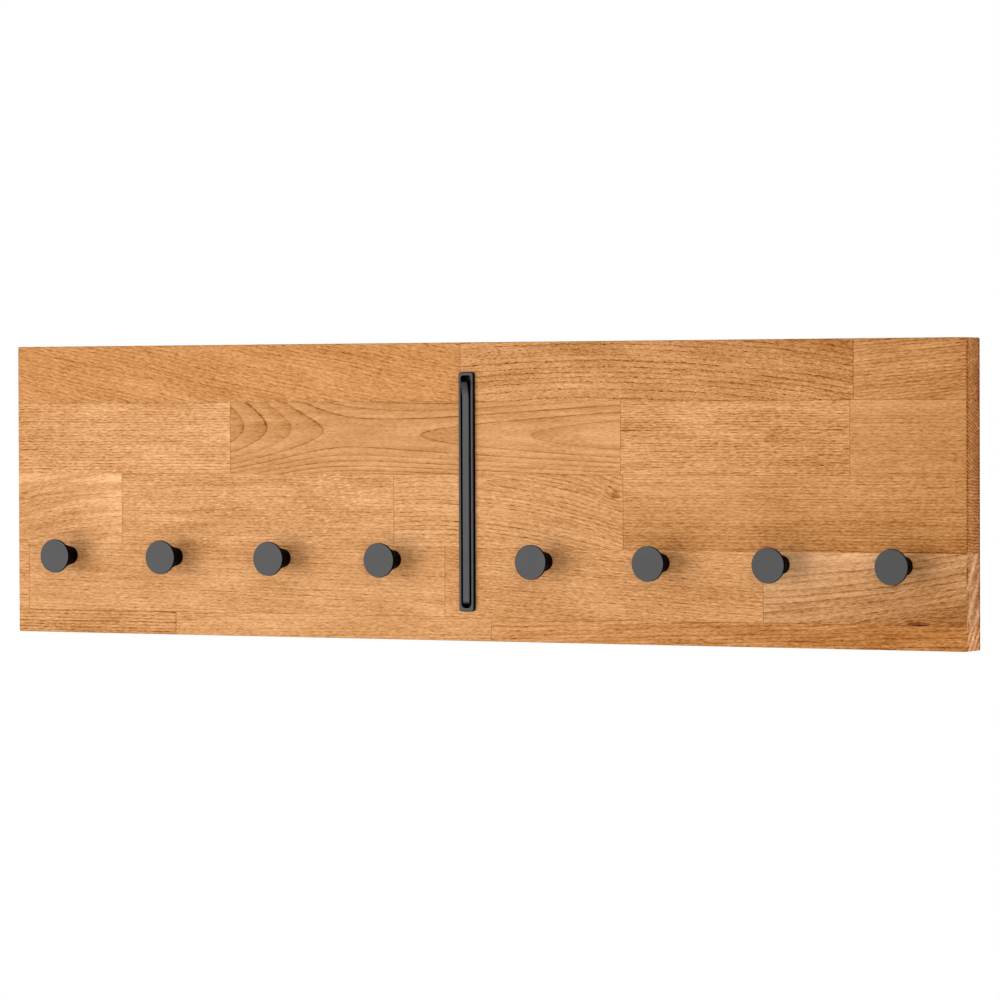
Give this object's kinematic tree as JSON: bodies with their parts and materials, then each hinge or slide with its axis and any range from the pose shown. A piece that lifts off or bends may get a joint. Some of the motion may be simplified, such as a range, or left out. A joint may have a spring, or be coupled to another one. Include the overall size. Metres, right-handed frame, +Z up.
{
  "type": "wall hook rack",
  "caption": "Solid wood wall panel with turned coat knobs in two groups and a hanger rod that folds forward out of a recessed housing.",
  "frame": {"origin": "middle of the panel's back face, which lies against the wall", "axes": "+X to the right along the panel, +Y into the wall, +Z up; the knobs face -Y"},
  "size_m": [1, 0.058, 0.276],
  "materials": {
    "oak": "oiled oak, satin",
    "knob_coat": "matt dark grey powder coat",
    "rod_coat": "satin dark grey powder coat",
    "steel": "zinc plated",
    "black_steel": "black oxide",
    "black_plastic": "matt",
    "rubber": "matt"
  },
  "bodies": {
    "panel": {"stave_a1": "oak", "stave_a2": "oak", "stave_a3": "oak", "stave_b1": "oak", "stave_b2": "oak", "stave_b3": "oak", "stave_b4": "oak", "stave_c1": "oak", "stave_c2": "oak", "stave_c3": "oak", "stave_c4": "oak", "stave_d1": "oak", "stave_d2": "oak", "stave_d3": "oak", "stave_d4": "oak", "stave_e1": "oak", "stave_e2": "oak", "stave_e3": "oak", "knob_1": "knob_coat", "knob_2": "knob_coat", "knob_3": "knob_coat", "knob_4": "knob_coat", "knob_5": "knob_coat", "knob_6": "knob_coat", "knob_7": "knob_coat", "knob_8": "knob_coat", "knob_screws": "steel", "knob_washers": "steel", "rod_housing": "rod_coat", "pivot_pin": "steel", "friction_washers": "black_plastic", "rest_pad": "rubber", "housing_screws": "black_steel", "hanger_plate_left": "steel", "hanger_plate_right": "steel", "hanger_screws": "steel"},
    "rod": {"hanger_rod": "rod_coat"}
  },
  "joints": [
    {"name": "rod_fold", "type": "hinge", "parent": "panel", "child": "rod", "pos_m": [0, -0.028, -0.09955], "axis": [1, 0, 0], "range_deg": [0, 90]}
  ]
}
